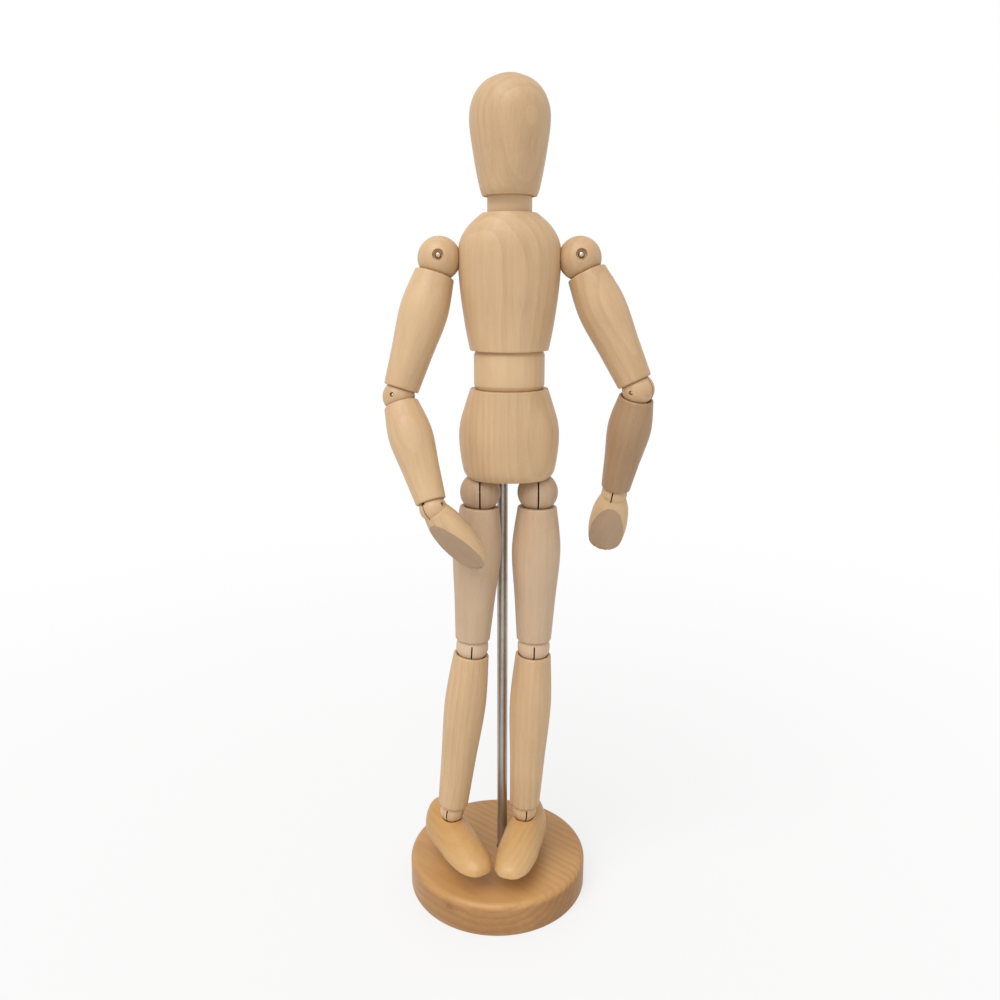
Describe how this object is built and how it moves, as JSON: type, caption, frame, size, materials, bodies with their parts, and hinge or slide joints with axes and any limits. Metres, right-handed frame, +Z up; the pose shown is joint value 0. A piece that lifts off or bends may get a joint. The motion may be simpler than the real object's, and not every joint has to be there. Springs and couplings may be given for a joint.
{
  "type": "jointed artist mannequin",
  "caption": "Wooden drawing figure with slotted ball joints, pins and hidden springs, held over a round stand by a steel rod.",
  "frame": {"origin": "middle of the stand's underside, on the surface it stands on", "axes": "+Z up; the figure faces -Y, and +X is on the figure's left"},
  "size_m": [0.092, 0.07, 0.3006],
  "materials": {
    "body_wood": "satin",
    "foot_wood": "satin",
    "stand_wood": "satin",
    "rod_steel": "satin",
    "pin_steel": "satin",
    "spring_wire": "satin"
  },
  "bodies": {
    "stand": {"base": "stand_wood", "support_rod": "rod_steel"},
    "pelvis": {"pelvis": "body_wood", "pelvis_pin": "pin_steel", "waist_spring": "spring_wire"},
    "waist": {"waist": "body_wood"},
    "chest": {"chest": "body_wood", "chest_waist_pin": "pin_steel", "chest_neck_pin": "pin_steel", "neck_spring": "spring_wire", "shoulder_spring": "spring_wire"},
    "neck": {"neck": "body_wood"},
    "head": {"head": "body_wood", "head_pin": "pin_steel"},
    "left_shoulder": {"left_shoulder_ball": "body_wood", "left_shoulder_pin": "pin_steel"},
    "left_upper_arm": {"left_upper_arm": "body_wood", "left_upper_arm_spring": "spring_wire"},
    "left_elbow": {"left_elbow_ball": "body_wood", "left_elbow_pin": "pin_steel"},
    "left_forearm": {"left_forearm": "body_wood"},
    "left_wrist": {"left_wrist_pin": "pin_steel", "left_forearm_spring": "spring_wire"},
    "left_hand": {"left_hand": "body_wood"},
    "left_hip": {"left_hip_ball": "body_wood", "left_hip_pin": "pin_steel", "left_hip_eye": "spring_wire"},
    "left_thigh": {"left_thigh": "body_wood", "left_thigh_spring": "spring_wire"},
    "left_knee": {"left_knee_ball": "body_wood", "left_knee_pin": "pin_steel"},
    "left_shin": {"left_shin": "body_wood", "left_shin_spring": "spring_wire"},
    "left_ankle": {"left_ankle_ball": "body_wood", "left_ankle_pin": "pin_steel"},
    "left_foot": {"left_foot": "foot_wood", "left_foot_eye": "spring_wire"},
    "right_shoulder": {"right_shoulder_ball": "body_wood", "right_shoulder_pin": "pin_steel"},
    "right_upper_arm": {"right_upper_arm": "body_wood", "right_upper_arm_spring": "spring_wire"},
    "right_elbow": {"right_elbow_ball": "body_wood", "right_elbow_pin": "pin_steel"},
    "right_forearm": {"right_forearm": "body_wood"},
    "right_wrist": {"right_wrist_pin": "pin_steel", "right_forearm_spring": "spring_wire"},
    "right_hand": {"right_hand": "body_wood"},
    "right_hip": {"right_hip_ball": "body_wood", "right_hip_pin": "pin_steel", "right_hip_eye": "spring_wire"},
    "right_thigh": {"right_thigh": "body_wood", "right_thigh_spring": "spring_wire"},
    "right_knee": {"right_knee_ball": "body_wood", "right_knee_pin": "pin_steel"},
    "right_shin": {"right_shin": "body_wood", "right_shin_spring": "spring_wire"},
    "right_ankle": {"right_ankle_ball": "body_wood", "right_ankle_pin": "pin_steel"},
    "right_foot": {"right_foot": "foot_wood", "right_foot_eye": "spring_wire"}
  },
  "joints": [
    {"name": "figure_swivel", "type": "hinge", "parent": "stand", "child": "pelvis", "pos_m": [0.0019, 0.001, 0.07], "axis": [0, 0, 1], "continuous": true},
    {"name": "waist_bend", "type": "hinge", "parent": "pelvis", "child": "waist", "pos_m": [0.0042, -0.0072, 0.207], "axis": [1, 0, 0], "range_deg": [-20, 3], "deforming": ["waist_spring"]},
    {"name": "waist_twist", "type": "hinge", "parent": "waist", "child": "chest", "pos_m": [0.0042, -0.0072, 0.207], "axis": [0, 0, 1], "range_deg": [-25, 40]},
    {"name": "neck_nod", "type": "hinge", "parent": "chest", "child": "neck", "pos_m": [0.0042, -0.0072, 0.2608], "axis": [1, 0, 0], "range_deg": [-20, 25], "deforming": ["neck_spring"]},
    {"name": "head_turn", "type": "hinge", "parent": "neck", "child": "head", "pos_m": [0.0042, -0.0072, 0.2634], "axis": [0, 0, 1], "range_deg": [-60, 60]},
    {"name": "left_shoulder_swing", "type": "hinge", "parent": "chest", "child": "left_shoulder", "pos_m": [0.0277, -0.0072, 0.2438], "axis": [-1, 0, 0], "range_deg": [-35, 90], "deforming": ["shoulder_spring"]},
    {"name": "right_shoulder_swing", "type": "hinge", "parent": "chest", "child": "right_shoulder", "pos_m": [-0.0193, -0.0072, 0.2438], "axis": [-1, 0, 0], "range_deg": [-1, 90]},
    {"name": "left_shoulder_lift", "type": "hinge", "parent": "left_shoulder", "child": "left_upper_arm", "pos_m": [0.0277, -0.0072, 0.2438], "axis": [0, -0.9836, 0.1805], "range_deg": [-8, 60]},
    {"name": "right_shoulder_lift", "type": "hinge", "parent": "right_shoulder", "child": "right_upper_arm", "pos_m": [-0.0193, -0.0072, 0.2438], "axis": [0, 0.9877, -0.1564], "range_deg": [-9, 60]},
    {"name": "left_elbow_turn", "type": "hinge", "parent": "left_upper_arm", "child": "left_elbow", "pos_m": [0.04768, -0.01508, 0.20088], "axis": [-0.4163, 0.1641, 0.8943], "range_deg": [-50, 50], "deforming": ["left_upper_arm_spring"]},
    {"name": "right_elbow_turn", "type": "hinge", "parent": "right_upper_arm", "child": "right_elbow", "pos_m": [-0.03333, -0.01438, 0.19847], "axis": [-0.2924, -0.1496, -0.9445], "range_deg": [-6, 50], "deforming": ["right_upper_arm_spring"]},
    {"name": "left_elbow_bend", "type": "hinge", "parent": "left_elbow", "child": "left_forearm", "pos_m": [0.04768, -0.01508, 0.20088], "axis": [0.5905, 0.7967, 0.1286], "range_deg": [-50, 12]},
    {"name": "right_elbow_bend", "type": "hinge", "parent": "right_elbow", "child": "right_forearm", "pos_m": [-0.03333, -0.01438, 0.19847], "axis": [-0.3349, -0.9091, 0.2477], "range_deg": [-50, 17]},
    {"name": "left_wrist_turn", "type": "hinge", "parent": "left_forearm", "child": "left_wrist", "pos_m": [0.04216, -0.00481, 0.16261], "axis": [0.138, -0.2568, 0.9566], "range_deg": [-60, 60], "deforming": ["left_forearm_spring"]},
    {"name": "right_wrist_turn", "type": "hinge", "parent": "right_forearm", "child": "right_wrist", "pos_m": [-0.02136, -0.02846, 0.16299], "axis": [0.2993, -0.3519, -0.8869], "range_deg": [-60, 60], "deforming": ["right_forearm_spring"]},
    {"name": "left_wrist_bend", "type": "hinge", "parent": "left_wrist", "child": "left_hand", "pos_m": [0.04216, -0.00481, 0.16261], "axis": [0.9393, -0.2725, -0.2087], "range_deg": [-50, 35]},
    {"name": "right_wrist_bend", "type": "hinge", "parent": "right_wrist", "child": "right_hand", "pos_m": [-0.02136, -0.02846, 0.16299], "axis": [0.7239, -0.5217, 0.4513], "range_deg": [-60, 14]},
    {"name": "left_hip_turn", "type": "hinge", "parent": "pelvis", "child": "left_hip", "pos_m": [0.01445, -0.0072, 0.1635], "axis": [0, 0, -1], "range_deg": [-8, 2]},
    {"name": "right_hip_turn", "type": "hinge", "parent": "pelvis", "child": "right_hip", "pos_m": [-0.00605, -0.0072, 0.1635], "axis": [0, 0, 1], "range_deg": [-25, 2]},
    {"name": "left_hip_swing", "type": "hinge", "parent": "left_hip", "child": "left_thigh", "pos_m": [0.01445, -0.0072, 0.1635], "axis": [-1, 0, 0], "range_deg": [0, 60]},
    {"name": "right_hip_swing", "type": "hinge", "parent": "right_hip", "child": "right_thigh", "pos_m": [-0.00605, -0.0072, 0.1635], "axis": [-1, 0, 0], "range_deg": [-4, 12]},
    {"name": "left_knee_turn", "type": "hinge", "parent": "left_thigh", "child": "left_knee", "pos_m": [0.01353, -0.00843, 0.10482], "axis": [-0.0157, -0.0209, -0.9997], "range_deg": [-5, 3], "deforming": ["left_thigh_spring"]},
    {"name": "right_knee_turn", "type": "hinge", "parent": "right_thigh", "child": "right_knee", "pos_m": [-0.00933, -0.00843, 0.10491], "axis": [0.0558, 0.0209, 0.9982], "range_deg": [-30, 3], "deforming": ["right_thigh_spring"]},
    {"name": "left_knee_bend", "type": "hinge", "parent": "left_knee", "child": "left_shin", "pos_m": [0.01353, -0.00843, 0.10482], "axis": [0.9999, -0.0003, -0.0157], "range_deg": [-15, 1]},
    {"name": "right_knee_bend", "type": "hinge", "parent": "right_knee", "child": "right_shin", "pos_m": [-0.00933, -0.00843, 0.10491], "axis": [0.9984, -0.0012, -0.0558], "range_deg": [-15, 50]},
    {"name": "left_ankle_turn", "type": "hinge", "parent": "left_shin", "child": "left_ankle", "pos_m": [0.0105, -0.00722, 0.0355], "axis": [-0.0436, 0.0175, -0.9989], "range_deg": [-6, 1], "deforming": ["left_shin_spring"]},
    {"name": "right_ankle_turn", "type": "hinge", "parent": "right_shin", "child": "right_ankle", "pos_m": [-0.01766, -0.00842, 0.03601], "axis": [0.1201, -0.0001, 0.9928], "range_deg": [-30, 1], "deforming": ["right_shin_spring"]},
    {"name": "left_ankle_bend", "type": "hinge", "parent": "left_ankle", "child": "left_foot", "pos_m": [0.0105, -0.00722, 0.0355], "axis": [0.984, 0.1738, -0.0399], "range_deg": [-30, 8]},
    {"name": "right_ankle_bend", "type": "hinge", "parent": "right_ankle", "child": "right_foot", "pos_m": [-0.01766, -0.00842, 0.03601], "axis": [0.8993, -0.4237, -0.1089], "range_deg": [-30, 8]}
  ]
}
